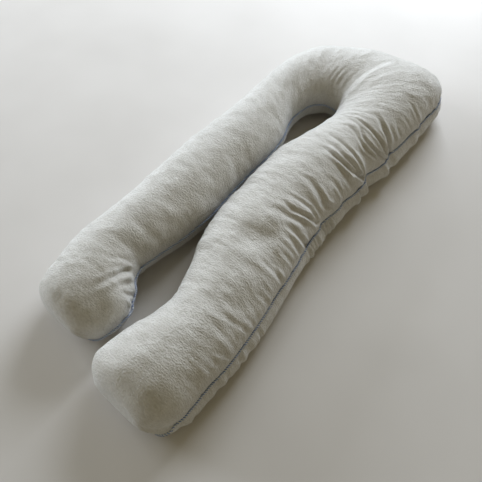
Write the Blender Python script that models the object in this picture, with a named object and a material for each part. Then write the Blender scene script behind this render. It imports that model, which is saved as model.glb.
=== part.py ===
"""A stuffed U-shaped body pillow lying on its back, and the blue overlocked seam that joins its two panels.

Metres, +Z up. The two arms lie along Y, their ends at the low side and the bend at the high side.
The origin is on the surface the pillow lies on, below the middle of its bounding box.
Run it with: blender --background --python part.py
"""

import math
from collections import namedtuple

import bpy
import numpy as np
from mathutils import Vector
from mathutils.bvhtree import BVHTree

# The seam's height over the surface, and the crown of the upper panel over the seam.
SEAM_HEIGHT = 0.078
CROWN = 0.098

# One row for each rib of the pillow, from the +X arm's end, round the bend, to the -X arm's end, in a plan
# whose y starts at the +X arm's end. A rib runs straight across from the outer seam to the inner seam. fill
# is the crown there as a share of CROWN. The sides are how far the lower panel stands out past each seam.
RIB_COLUMNS = ("outer_x", "outer_y", "inner_x", "inner_y", "fill", "outer_side", "inner_side")
RIBS = (
    (0.260, 0.002, 0.020, 0.016, 1.00, 0.008, 0.006),
    (0.268, 0.080, 0.016, 0.080, 1.00, 0.014, 0.006),
    (0.268, 0.150, 0.027, 0.150, 1.02, 0.017, 0.003),
    (0.270, 0.250, 0.056, 0.250, 0.98, 0.019, 0.003),
    (0.263, 0.350, 0.040, 0.350, 0.96, 0.023, 0.003),
    (0.252, 0.450, 0.000, 0.450, 1.00, 0.024, 0.003),
    (0.241, 0.550, -0.025, 0.550, 1.02, 0.018, 0.002),
    (0.226, 0.650, -0.033, 0.650, 1.00, 0.024, 0.001),
    (0.221, 0.750, -0.034, 0.750, 1.00, 0.025, 0.001),
    (0.229, 0.850, -0.029, 0.850, 1.02, 0.019, 0.002),
    (0.224, 0.950, -0.004, 0.945, 1.00, 0.022, 0.003),
    (0.230, 1.070, 0.018, 1.034, 1.00, 0.029, 0.000),
    (0.245, 1.210, 0.019, 1.092, 1.06, 0.024, -0.004),
    (0.254, 1.330, 0.010, 1.122, 1.12, 0.020, -0.006),
    (0.228, 1.413, -0.006, 1.130, 1.12, 0.018, -0.006),
    (0.147, 1.448, -0.022, 1.131, 1.06, 0.016, -0.006),
    (0.055, 1.445, -0.037, 1.130, 1.00, 0.015, -0.004),
    (-0.035, 1.420, -0.050, 1.125, 0.98, 0.014, -0.001),
    (-0.120, 1.372, -0.066, 1.111, 1.00, 0.014, 0.002),
    (-0.192, 1.312, -0.081, 1.087, 1.02, 0.014, 0.003),
    (-0.236, 1.233, -0.088, 1.050, 1.02, 0.014, 0.005),
    (-0.249, 1.140, -0.088, 1.005, 0.98, 0.014, 0.008),
    (-0.246, 1.040, -0.078, 0.965, 0.96, 0.014, 0.008),
    (-0.247, 0.930, -0.062, 0.920, 0.97, 0.014, 0.006),
    (-0.252, 0.840, -0.053, 0.840, 0.98, 0.014, 0.003),
    (-0.259, 0.740, -0.053, 0.740, 0.99, 0.014, 0.003),
    (-0.260, 0.650, -0.052, 0.650, 1.00, 0.014, 0.004),
    (-0.260, 0.550, -0.046, 0.550, 1.01, 0.014, 0.007),
    (-0.259, 0.450, -0.055, 0.450, 0.98, 0.014, 0.004),
    (-0.261, 0.360, -0.073, 0.356, 0.94, 0.014, 0.000),
    (-0.263, 0.280, -0.079, 0.305, 0.94, 0.014, -0.003),
    (-0.257, 0.205, -0.049, 0.248, 0.98, 0.013, -0.006),
    (-0.247, 0.145, -0.011, 0.195, 1.00, 0.010, -0.007),
    (-0.236, 0.100, -0.006, 0.120, 1.00, 0.006, -0.006),
    (-0.232, 0.072, -0.012, 0.066, 1.00, 0.000, -0.006),
)

# How an arm's end closes: the seam's corner radii in plan, the length over which the filling rises, the
# fullness of that rise, and how far the lower panel stands out past the seam there.
CORNER_RADIUS = {("outer", "start"): 0.078, ("inner", "start"): 0.050, ("outer", "finish"): 0.060,
                 ("inner", "finish"): 0.085}
END_ROUND = 0.105
END_POWER = 2.3
END_SIDE = {"start": 0.010, "finish": 0.003}

# The cross-section: fullness of each panel (2 is an ellipse), how far the upper panel stands out past the
# seam, and the share of the lower panel's depth that the surface below it presses flat.
UPPER_POWER = 2.1
LOWER_POWER = 3.0
UPPER_SIDE = 0.004
PRESSED = 0.08

# Folds that a seam draws in. along is the distance from the +X arm's end on the middle line, lean is how
# far the fold has moved along by the time it reaches the crown, and reach is the angle round the section
# where it ends.
Fold = namedtuple("Fold", ("along", "side", "panel", "depth", "half_width", "lean", "reach"))
FOLDS = tuple(Fold(*row) for row in (
    (0.484, "outer", "upper", 0.003, 0.016, 0.000, 75),
    (0.566, "outer", "upper", 0.004, 0.012, -0.020, 75),
    (0.606, "outer", "upper", 0.006, 0.011, -0.015, 85),
    (0.669, "outer", "upper", 0.009, 0.010, -0.010, 95),
    (0.691, "outer", "upper", 0.006, 0.009, 0.000, 85),
    (0.753, "outer", "upper", 0.006, 0.011, -0.004, 85),
    (0.850, "outer", "upper", 0.005, 0.011, 0.008, 90),
    (0.884, "outer", "upper", 0.013, 0.011, -0.008, 118),
    (0.914, "outer", "upper", 0.009, 0.010, 0.006, 100),
    (0.975, "outer", "upper", 0.005, 0.011, 0.000, 75),
    (1.010, "outer", "upper", 0.010, 0.011, 0.006, 116),
    (1.044, "outer", "upper", 0.015, 0.013, 0.024, 96),
    (1.072, "outer", "upper", 0.004, 0.011, 0.000, 60),
    (1.157, "outer", "upper", 0.007, 0.010, 0.000, 58),
    (1.222, "inner", "upper", 0.020, 0.030, 0.150, 128),
    (1.275, "inner", "upper", 0.006, 0.016, 0.145, 88),
    (1.335, "inner", "upper", 0.009, 0.018, 0.130, 84),
    (1.455, "inner", "upper", 0.005, 0.018, 0.060, 70),
    (2.470, "inner", "upper", 0.004, 0.011, 0.120, 72),
    (2.486, "inner", "upper", 0.010, 0.012, 0.170, 96),
    (2.560, "inner", "upper", 0.005, 0.010, 0.080, 42),
    (2.596, "inner", "upper", 0.006, 0.009, 0.030, 46),
    (2.623, "inner", "upper", 0.004, 0.008, 0.000, 34),
    (0.670, "outer", "lower", 0.007, 0.010, 0.000, 70),
    (0.705, "outer", "lower", 0.008, 0.010, 0.000, 75),
    (0.745, "outer", "lower", 0.006, 0.011, 0.000, 70),
    (0.896, "outer", "lower", 0.013, 0.012, 0.000, 80),
    (1.040, "outer", "lower", 0.010, 0.012, 0.000, 75),
    (1.157, "outer", "lower", 0.006, 0.012, 0.000, 70),
))
# The share of a fold's depth by which it pulls the seam in, and the share of its reach in which it grows to
# its full depth. Beside its valley the cloth swells: how much, and how many half-widths away.
SEAM_PULL = 0.5
GROWTH = 0.12
SWELL = 0.30
SWELL_AT = 1.9

# Places where the filling is thin and the upper panel dips. across runs from 1 at the outer seam to -1.
Dip = namedtuple("Dip", ("along", "across", "depth", "length", "width"))
DIPS = tuple(Dip(*row) for row in (
    (0.163, 0.33, 0.004, 0.050, 0.35),
    (0.445, 0.33, 0.005, 0.040, 0.30),
    (0.534, 0.22, 0.010, 0.045, 0.35),
    (0.646, 0.45, 0.008, 0.030, 0.30),
    (2.392, -0.35, 0.005, 0.045, 0.35),
    (2.640, -0.20, 0.006, 0.040, 0.40),
))

# The blue overlocked edge: a narrow ribbon that stands round the seam, clear of the cloth's upright lip.
RIBBON_TALL = 0.0040
RIBBON_THICK = 0.0024
RIBBON_EDGE_SHARE = 0.6
CLEARANCE = 0.0003
LIP = RIBBON_TALL + 2 * CLEARANCE
MITRE_LIMIT = 0.7

# Over an arm's end the overlocked edge runs low, tucked under the filling: how far it drops, and over what
# length of each seam. There it follows the lower panel: how far apart its points stand, how far outside the
# search for the cloth starts, and how clear of the cloth it stays.
TUCK_DROP = 0.054
TUCK_LENGTH = {("outer", "start"): 0.060, ("inner", "start"): 0.120, ("outer", "finish"): 0.120,
               ("inner", "finish"): 0.070}
TUCK_STEP = 0.005
TUCK_SEARCH = 0.014
TUCK_CLEARANCE = 0.0008
TUCK_NEIGHBOURS = (-1, 0, 1)

# The mesh: how far apart its rings stand, from one distance along the pillow to the next, the points of
# each panel between its seams, how much closer they stand beside a seam, and how finely the ribs' curves
# are read.
END_STATIONS = 5
STRETCH_ENDS = (0.44, 1.20, 1.50, 2.44)
STRETCH_STEPS = (0.028, 0.0085, 0.012, 0.030, 0.011)
PANEL_POINTS = 11
SEAM_CROWDING = 0.35
FINE_STEPS = 4000
TINY = 1e-6

CLOTH_COLOUR = (0.62, 0.62, 0.57, 1.0)
THREAD_COLOUR = (0.13, 0.20, 0.33, 1.0)

def through_rows(rows, at):
    """A Catmull-Rom curve through the rows of a table, read at the row numbers in at."""
    rows = np.asarray(rows, float)
    padded = np.vstack([2 * rows[0] - rows[1], rows, 2 * rows[-1] - rows[-2]])
    first = np.clip(np.floor(at).astype(int), 0, len(rows) - 2)
    t = (at - first)[:, None]
    a, b, c, d = (padded[first + k] for k in range(4))
    square = 2 * a - 5 * b + 4 * c - d
    cube = 3 * b - a - 3 * c + d
    return b + 0.5 * ((c - a) * t + square * t**2 + cube * t**3)

def rounding(distance, radius, power):
    """0 at a rounded end and 1 from radius onwards, as a superellipse rises."""
    left = np.clip(1 - distance / radius, 0, 1)
    return (1 - left**power) ** (1 / power)

def bell(offset):
    return np.exp(-(offset**2))

class Stations:
    """The places along the pillow where the solid has a ring of points, with the rib at each of them."""

    def __init__(self):
        fine = np.linspace(0, len(RIBS) - 1, FINE_STEPS)
        rows = through_rows(RIBS, fine)
        middle = (rows[:, 0:2] + rows[:, 2:4]) / 2
        reached = np.concatenate([[0], np.cumsum(np.linalg.norm(np.diff(middle, axis=0), axis=1))])
        self.total = reached[-1]
        self.along = self.places()
        rows = through_rows(RIBS, np.interp(self.along, reached, fine))
        column = dict(zip(RIB_COLUMNS, rows.T))
        self.seam = {side: np.stack([column[side + "_x"], column[side + "_y"]], axis=1)
                     for side in ("outer", "inner")}
        self.lower_side = {side: column[side + "_side"] for side in ("outer", "inner")}
        self.fill = column["fill"]
        self.from_end = {"start": self.along, "finish": self.total - self.along}
        self.grown = rounding(np.minimum(self.along, self.total - self.along), END_ROUND, END_POWER)
        self.close_corners()
        self.pull_seams()

    def places(self):
        """Distances along the middle line: close at the rounded ends and where there are folds."""
        turn = np.arange(END_STATIONS) * (math.pi / 2) / END_STATIONS
        near_end = END_ROUND * (1 - np.cos(turn))
        ends = (END_ROUND, *STRETCH_ENDS, self.total - END_ROUND)
        middle = [np.linspace(a, b, round((b - a) / step), endpoint=False)
                  for a, b, step in zip(ends, ends[1:], STRETCH_STEPS)]
        return np.concatenate([near_end, *middle, [self.total - END_ROUND], self.total - near_end[::-1]])

    def crowding(self, points):
        """How close the ribs stand at points, a row for each rib: 1 is their distance on the middle line."""
        spread = np.linalg.norm(np.gradient(points, self.along, axis=0), axis=-1)
        return np.clip(spread, 0, 1)

    def across(self):
        """Unit steps from the inner seam to the outer seam."""
        rib = self.seam["outer"] - self.seam["inner"]
        return rib / np.linalg.norm(rib, axis=1)[:, None]

    def draw_in(self, side, amount):
        towards = -1 if side == "outer" else 1
        self.seam[side] = self.seam[side] + towards * self.across() * amount[:, None]

    def close_corners(self):
        """Rounds the seam's corners in plan: the ribs grow shorter towards each end."""
        for (side, end), radius in CORNER_RADIUS.items():
            self.draw_in(side, radius * (1 - rounding(self.from_end[end], radius, 2)))

    def pull_seams(self):
        for fold in FOLDS:
            if fold.panel == "upper":
                pull = SEAM_PULL * fold.depth * bell((self.along - fold.along) / fold.half_width)
                self.draw_in(fold.side, pull * self.crowding(self.seam[fold.side]))

def panel_angles():
    """Angles over a panel, from the outer seam, 0, to the inner seam, half a turn."""
    even = np.linspace(0, math.pi, PANEL_POINTS + 2)
    return even - SEAM_CROWDING * np.sin(2 * even)

def section(angles, power):
    """A panel's section: its reach from the middle, 1 to -1, and its rise over the seam, 0 to 1 to 0."""
    sine = np.clip(np.sin(angles), 0, 1)
    cosine = np.cos(angles)
    return np.sign(cosine) * np.abs(cosine) ** (2 / power), sine ** (2 / power)

def fold_depth(stations, panel, angles):
    """How far each point of a panel is pressed in, a row for each station."""
    depth = np.zeros((len(stations.along), len(angles)))
    for fold in FOLDS:
        if fold.panel != panel:
            continue
        from_seam = angles if fold.side == "outer" else math.pi - angles
        travelled = from_seam / math.radians(fold.reach)
        fade = np.clip(1 - travelled**2, 0, 1) ** 2 * (1 - (1 - SEAM_PULL) * bell(travelled / GROWTH))
        centre = fold.along + fold.lean * from_seam / (math.pi / 2)
        offset = (stations.along[:, None] - centre[None, :]) / fold.half_width
        depth += fold.depth * (bell(offset) - SWELL * bell(np.abs(offset) - SWELL_AT)) * fade[None, :]
    if panel == "upper":
        across = np.cos(angles)
        for dip in DIPS:
            lengthwise = bell((stations.along - dip.along) / dip.length)
            depth += dip.depth * lengthwise[:, None] * bell((across - dip.across) / dip.width)[None, :]
    return depth

def panel_points(stations, panel):
    """The points of one panel: a row for each station, from the outer seam to the inner seam."""
    angles = panel_angles()
    upper = panel == "upper"
    reach, rise = section(angles, UPPER_POWER if upper else LOWER_POWER)
    half = (stations.seam["outer"] - stations.seam["inner"]) / 2
    centre = (stations.seam["outer"] + stations.seam["inner"]) / 2
    across = stations.across()
    if upper:
        side = np.full((len(stations.along), len(angles)), UPPER_SIDE)
    else:
        outer, inner = stations.lower_side["outer"][:, None], stations.lower_side["inner"][:, None]
        side = np.where(reach[None, :] > 0, outer, inner)
    side = side * (np.where(reach > 0, 1, -1) * np.sin(math.pi * rise))[None, :] * stations.grown[:, None]
    plan = centre[:, None, :] + reach[None, :, None] * half[:, None, :]
    plan += side[:, :, None] * across[:, None, :]
    if upper:
        crown = CROWN * stations.fill - LIP / 2
        return np.dstack([plan, SEAM_HEIGHT + LIP / 2 + (crown * stations.grown)[:, None] * rise[None, :]])
    axis = np.stack([-across[:, 1], across[:, 0]], axis=1)
    for end, towards in (("start", -1), ("finish", 1)):
        near = stations.from_end[end] < END_ROUND
        endwise = towards * END_SIDE[end] * np.where(near, np.sin(math.pi * stations.grown), 0)
        plan += endwise[:, None, None] * rise[None, :, None] * axis[:, None, :]
    deep = np.clip(stations.grown[:, None] * rise[None, :] * (1 + PRESSED), 0, 1)
    return np.dstack([plan, (SEAM_HEIGHT - LIP / 2) * (1 - deep)])

def pressed_in(points, depth, panel):
    """Moves a panel's points inwards along its normals by depth. Those on the surface below stay there."""
    outwards = 1 if panel == "upper" else -1
    normal = outwards * np.cross(np.gradient(points, axis=0), np.gradient(points, axis=1))
    normal /= np.maximum(np.linalg.norm(normal, axis=2, keepdims=True), TINY**2)
    depth = np.where(points[:, :, 2] < TINY, 0, depth)
    depth[:, [0, -1]] = 0
    moved = points - normal * depth[:, :, None]
    moved[:, :, 2] = np.maximum(moved[:, :, 2], 0)
    return moved

def pillow_rings(stations):
    """Rings round the pillow: over the upper panel from the outer seam, and back under the lower panel."""
    panels = {}
    for panel in ("upper", "lower"):
        points = panel_points(stations, panel)
        depth = fold_depth(stations, panel, panel_angles()) * stations.crowding(points)
        panels[panel] = pressed_in(points, depth, panel)
    return np.concatenate([panels["upper"], panels["lower"][:, ::-1]], axis=1)

def pillow_faces(count, around):
    """Quads between the rings, and the narrow strip between the two panels' edges at each end."""
    faces = []
    for i in range(count - 1):
        for j in range(around):
            k = (j + 1) % around
            faces.append((i * around + j, (i + 1) * around + j, (i + 1) * around + k, i * around + k))
    last = (count - 1) * around
    for j in range(around // 2 - 1):
        under = around - 1 - j
        faces.append((j, j + 1, under - 1, under))
        faces.append((last + j, last + under, last + under - 1, last + j + 1))
    return faces

def seam_path(stations):
    """The seam's closed line in plan, over both seams and both ends, with the share of its drop that is left.

    That share is 0 over an end, and 1 or more where the seam is level.
    """
    reach = section(panel_angles()[1:-1], UPPER_POWER)[0][:, None]

    def over(i):
        outer, inner = stations.seam["outer"][i], stations.seam["inner"][i]
        return (outer + inner) / 2 + reach * (outer - inner) / 2

    def left(side):
        return np.minimum(*(stations.from_end[end] / TUCK_LENGTH[side, end] for end in ("start", "finish")))
    path = np.concatenate([stations.seam["outer"], over(-1), stations.seam["inner"][::-1], over(0)[::-1]])
    end = np.zeros(len(reach))
    return path, np.concatenate([left("outer"), end, left("inner")[::-1], end])

def divided(path, left):
    """The closed line with points at short steps where it drops, and the drop at each point, from 0 to 1."""
    places, shares = [], []
    for i in range(len(path)):
        n = (i + 1) % len(path)
        low = min(left[i], left[n]) < 1
        count = math.ceil(np.linalg.norm(path[n] - path[i]) / TUCK_STEP) if low else 1
        for share in np.arange(count) / count:
            places.append(path[i] + (path[n] - path[i]) * share)
            shares.append(min(left[i] + (left[n] - left[i]) * share, 1))
    shares = np.array(shares)
    return np.array(places), 1 - shares**2 * (3 - 2 * shares)

def unit(vectors):
    return vectors / np.linalg.norm(vectors, axis=1)[:, None]

def reaches(cloth, path, away, heights, tall):
    """How far out from the seam's line the cloth reaches at a band of heights round each point."""
    found = []
    for place, out, height in zip(path, away, heights):
        way = Vector((*out, 0))
        start = Vector((*place, height)) + way * TUCK_SEARCH
        hits = (cloth.ray_cast(start + Vector((0, 0, rise)), -way)[3] for rise in (-tall, 0, tall))
        found.append(max(TUCK_SEARCH - far for far in hits if far is not None))
    found = np.array(found)
    return np.max([np.roll(found, shift) for shift in TUCK_NEIGHBOURS], axis=0)

def ribbon_points(stations, rings):
    """Four corners of the ribbon for each point of the seam's line."""
    path, drop = divided(*seam_path(stations))
    heights = SEAM_HEIGHT - TUCK_DROP * drop
    into = unit(path - np.roll(path, 1, axis=0))
    out = unit(np.roll(path, -1, axis=0) - path)
    tangent = unit(into + out)
    away = np.stack([tangent[:, 1], -tangent[:, 0]], axis=1)
    share = 1 / np.maximum(np.sum(tangent * out, axis=1), MITRE_LIMIT)
    tall = RIBBON_TALL / 2
    edge = tall * RIBBON_EDGE_SHARE
    cloth = BVHTree.FromPolygons(rings.reshape(-1, 3).tolist(), pillow_faces(*rings.shape[:2]))
    clear = np.where(drop > 0, reaches(cloth, path, away, heights, tall) + TUCK_CLEARANCE, CLEARANCE * share)
    thick = RIBBON_THICK * share
    corners = []
    for offset, height in ((clear, -tall), (clear + thick, -edge), (clear + thick, edge), (clear, tall)):
        corners.append(np.column_stack([path + away * offset[:, None], heights + height]))
    return np.stack(corners, axis=1)

def ribbon_faces(count, sides):
    faces = []
    for i in range(count):
        n = (i + 1) % count
        for j in range(sides):
            k = (j + 1) % sides
            faces.append((i * sides + j, n * sides + j, n * sides + k, i * sides + k))
    return faces

def material(name, colour, roughness):
    made = bpy.data.materials.new(name)
    made.use_nodes = True
    shader = made.node_tree.nodes["Principled BSDF"]
    shader.inputs["Base Color"].default_value = colour
    shader.inputs["Roughness"].default_value = roughness
    return made

def object_of(name, points, faces, of_material):
    mesh = bpy.data.meshes.new(name)
    mesh.from_pydata(points.tolist(), [], faces)
    mesh.shade_smooth()
    mesh.materials.append(of_material)
    made = bpy.data.objects.new(name, mesh)
    bpy.context.scene.collection.objects.link(made)
    return made

def main():
    for old in list(bpy.data.objects):
        bpy.data.objects.remove(old)
    stations = Stations()
    rings = pillow_rings(stations)
    ribbon = ribbon_points(stations, rings)
    points = [rings.reshape(-1, 3), ribbon.reshape(-1, 3)]
    every = np.concatenate(points)
    middle = (every.max(axis=0) + every.min(axis=0)) / 2
    middle[2] = 0
    cloth = material("velour", CLOTH_COLOUR, 0.9)
    thread = material("blue_thread", THREAD_COLOUR, 0.6)
    object_of("filled_pillow", points[0] - middle, pillow_faces(*rings.shape[:2]), cloth)
    object_of("overlocked_seam", points[1] - middle, ribbon_faces(*ribbon.shape[:2]), thread)

main()
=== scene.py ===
"""The U-shaped body pillow's looks: its plush velour cover with the gathers, creases and soft lumps of filled
cloth, and the blue overlocked seam round it. Metres, +Z up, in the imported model's own frame.
"""

import math
from collections import namedtuple

import bpy
import numpy as np
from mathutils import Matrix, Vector
from mathutils.bvhtree import BVHTree


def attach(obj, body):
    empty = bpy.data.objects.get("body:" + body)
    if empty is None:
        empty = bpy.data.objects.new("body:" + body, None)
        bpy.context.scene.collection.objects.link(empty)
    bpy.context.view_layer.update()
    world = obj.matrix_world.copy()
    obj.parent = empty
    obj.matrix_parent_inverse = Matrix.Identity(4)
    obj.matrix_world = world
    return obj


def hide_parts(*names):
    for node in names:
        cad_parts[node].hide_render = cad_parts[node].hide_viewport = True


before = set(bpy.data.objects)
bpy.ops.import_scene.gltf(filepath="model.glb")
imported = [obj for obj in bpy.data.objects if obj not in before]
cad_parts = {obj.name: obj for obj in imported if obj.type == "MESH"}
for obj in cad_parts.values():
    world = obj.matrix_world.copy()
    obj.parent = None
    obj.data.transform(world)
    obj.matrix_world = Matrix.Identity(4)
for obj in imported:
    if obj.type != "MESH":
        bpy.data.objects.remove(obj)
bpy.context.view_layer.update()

# The camera: where it looks, how far off it stands, and its lens on a sensor of SENSOR millimetres.
AZIMUTH = 38.18
ELEVATION = 56.0
DISTANCE = 1.470
TARGET = (0.0704, -0.1981, 0.080)
LENS = 40.33
SENSOR = 36.0
PHOTO_PIXELS = 482

# The seam's height over the surface, and the crown of the upper panel over the seam.
SEAM_HEIGHT = 0.078
CROWN = 0.098

# One row for each rib of the pillow, from the +X arm's end, round the bend, to the -X arm's end, in a plan
# whose y starts at the +X arm's end. A rib runs straight across from the outer seam to the inner seam. fill
# is the crown there as a share of CROWN. The sides are how far the lower panel stands out past each seam.
RIB_COLUMNS = ("outer_x", "outer_y", "inner_x", "inner_y", "fill", "outer_side", "inner_side")
RIBS = (
    (0.260, 0.002, 0.020, 0.016, 1.00, 0.008, 0.006),
    (0.268, 0.080, 0.016, 0.080, 1.00, 0.014, 0.006),
    (0.268, 0.150, 0.027, 0.150, 1.02, 0.017, 0.003),
    (0.270, 0.250, 0.056, 0.250, 0.98, 0.019, 0.003),
    (0.263, 0.350, 0.040, 0.350, 0.96, 0.023, 0.003),
    (0.252, 0.450, 0.000, 0.450, 1.00, 0.024, 0.003),
    (0.241, 0.550, -0.025, 0.550, 1.02, 0.018, 0.002),
    (0.226, 0.650, -0.033, 0.650, 1.00, 0.024, 0.001),
    (0.221, 0.750, -0.034, 0.750, 1.00, 0.025, 0.001),
    (0.229, 0.850, -0.029, 0.850, 1.02, 0.019, 0.002),
    (0.224, 0.950, -0.004, 0.945, 1.00, 0.022, 0.003),
    (0.230, 1.070, 0.018, 1.034, 1.00, 0.029, 0.000),
    (0.245, 1.210, 0.019, 1.092, 1.06, 0.024, -0.004),
    (0.254, 1.330, 0.010, 1.122, 1.12, 0.020, -0.006),
    (0.228, 1.413, -0.006, 1.130, 1.12, 0.018, -0.006),
    (0.147, 1.448, -0.022, 1.131, 1.06, 0.016, -0.006),
    (0.055, 1.445, -0.037, 1.130, 1.00, 0.015, -0.004),
    (-0.035, 1.420, -0.050, 1.125, 0.98, 0.014, -0.001),
    (-0.120, 1.372, -0.066, 1.111, 1.00, 0.014, 0.002),
    (-0.192, 1.312, -0.081, 1.087, 1.02, 0.014, 0.003),
    (-0.236, 1.233, -0.088, 1.050, 1.02, 0.014, 0.005),
    (-0.249, 1.140, -0.088, 1.005, 0.98, 0.014, 0.008),
    (-0.246, 1.040, -0.078, 0.965, 0.96, 0.014, 0.008),
    (-0.247, 0.930, -0.062, 0.920, 0.97, 0.014, 0.006),
    (-0.252, 0.840, -0.053, 0.840, 0.98, 0.014, 0.003),
    (-0.259, 0.740, -0.053, 0.740, 0.99, 0.014, 0.003),
    (-0.260, 0.650, -0.052, 0.650, 1.00, 0.014, 0.004),
    (-0.260, 0.550, -0.046, 0.550, 1.01, 0.014, 0.007),
    (-0.259, 0.450, -0.055, 0.450, 0.98, 0.014, 0.004),
    (-0.261, 0.360, -0.073, 0.356, 0.94, 0.014, 0.000),
    (-0.263, 0.280, -0.079, 0.305, 0.94, 0.014, -0.003),
    (-0.257, 0.205, -0.049, 0.248, 0.98, 0.013, -0.006),
    (-0.247, 0.145, -0.011, 0.195, 1.00, 0.010, -0.007),
    (-0.236, 0.100, -0.006, 0.120, 1.00, 0.006, -0.006),
    (-0.232, 0.072, -0.012, 0.066, 1.00, 0.000, -0.006),
)
# Where the plan's own origin lies in the frame.
PLAN_ORIGIN = (-0.00559, -0.73214)

# How an arm's end closes: the seam's corner radii in plan, the length over which the filling rises, the
# fullness of that rise, and how far the lower panel stands out past the seam there.
CORNER_RADIUS = {("outer", "start"): 0.078, ("inner", "start"): 0.050, ("outer", "finish"): 0.060,
                 ("inner", "finish"): 0.085}
END_ROUND = 0.105
END_POWER = 2.3
END_SIDE = {"start": 0.010, "finish": 0.003}

# The cross-section: fullness of each panel (2 is an ellipse), how far the upper panel stands out past the
# seam, and the share of the lower panel's depth that the surface below it presses flat.
UPPER_POWER = 2.1
LOWER_POWER = 3.0
UPPER_SIDE = 0.004
PRESSED = 0.08

# The cover's mesh: how far apart its rings stand, from one distance along the pillow to the next, the quads
# across each panel, how much closer they stand beside a seam, and how finely the ribs' curves are read.
END_STATIONS = 14
STRETCH_ENDS = (0.42, 1.21, 1.50, 2.44)
STRETCH_STEPS = (0.0037, 0.0025, 0.0036, 0.0072, 0.0032)
UPPER_QUADS = 112
LOWER_SHARE = 4
SEAM_CROWDING = 0.35
FINE_STEPS = 4000
TINY = 1e-6

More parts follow.
